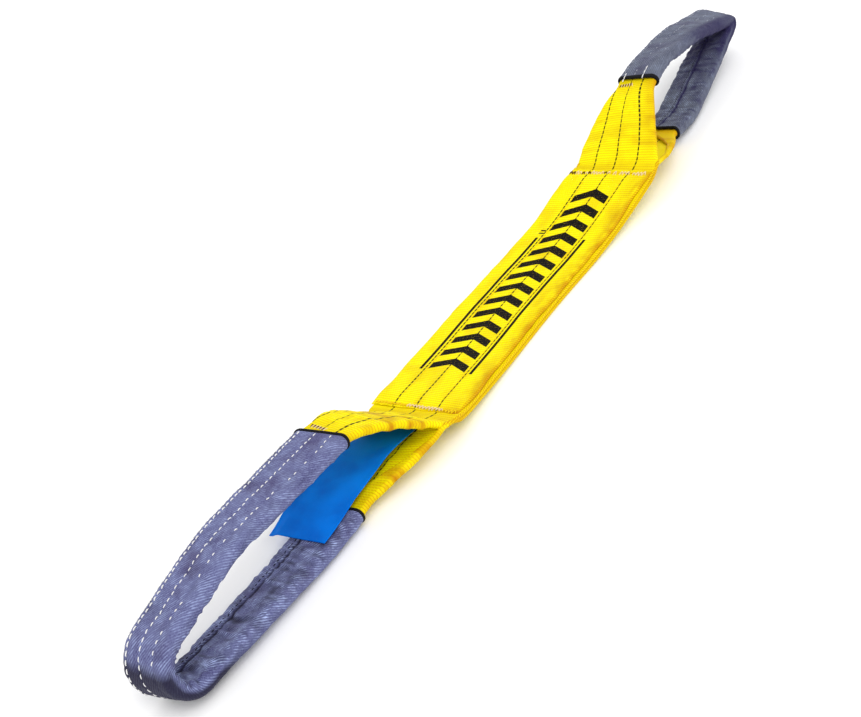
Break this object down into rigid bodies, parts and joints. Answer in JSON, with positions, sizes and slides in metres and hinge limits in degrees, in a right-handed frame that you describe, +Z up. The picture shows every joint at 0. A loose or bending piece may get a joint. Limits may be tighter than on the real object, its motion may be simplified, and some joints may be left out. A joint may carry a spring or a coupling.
{
  "type": "flat web sling",
  "caption": "Duplex flat webbing lifting sling: wide multi-ply strap with a sleeved, folded loop eye at each end and a blank tag by one eye.",
  "frame": {"origin": "centre of the sling's footprint, on the surface that it lies on", "axes": "+X along the sling towards the far eye (the near eye, with the tag, is at -X), +Y across the webbing, +Z up"},
  "size_m": [1.0492, 0.093, 0.0851],
  "materials": {
    "yellow_webbing": "woven polyester, matt",
    "sleeve_cloth": "woven polyester wear sleeve, matt",
    "white_thread": "heavy polyester sewing thread",
    "yellow_thread": "heavy polyester sewing thread",
    "black_thread": "overlocked edge thread",
    "brown_thread": "heavy polyester sewing thread",
    "label_blue": "soft polyurethane tag, satin"
  },
  "bodies": {
    "root": {"top_splice_ply": "yellow_webbing", "upper_run_ply": "yellow_webbing", "lower_run_ply": "yellow_webbing", "body_seam_left": "yellow_thread", "body_seam_right": "yellow_thread", "near_bar_tack": "white_thread", "far_bar_tack": "white_thread", "label_sewn_end": "label_blue"},
    "near_eye": {"near_eye_webbing": "yellow_webbing", "near_eye_sleeve": "sleeve_cloth", "near_hem_upper": "black_thread", "near_hem_lower": "black_thread", "near_sleeve_seam_outer": "white_thread", "near_sleeve_seam_middle": "white_thread", "near_fold_tack_upper": "brown_thread", "near_fold_tack_lower": "brown_thread"},
    "far_eye": {"far_eye_webbing": "yellow_webbing", "far_eye_sleeve": "sleeve_cloth", "far_hem_upper": "black_thread", "far_hem_lower": "black_thread", "far_sleeve_seam_outer": "white_thread", "far_sleeve_seam_middle": "white_thread", "far_fold_tack_upper": "brown_thread", "far_fold_tack_lower": "brown_thread"},
    "label": {"label": "label_blue"}
  },
  "joints": [
    {"name": "near_eye_fold", "type": "hinge", "parent": "root", "child": "near_eye", "pos_m": [-0.19, 0, 0.0158], "axis": [0, 1, 0], "range_deg": [-90, 90]},
    {"name": "far_eye_fold", "type": "hinge", "parent": "root", "child": "far_eye", "pos_m": [0.19, 0, 0.0288], "axis": [0, -1, 0], "range_deg": [-90, 90]},
    {"name": "label_lift", "type": "hinge", "parent": "near_eye", "child": "label", "pos_m": [-0.19, 0, 0.0158], "axis": [0, 1, 0], "range_deg": [0, 15]}
  ]
}
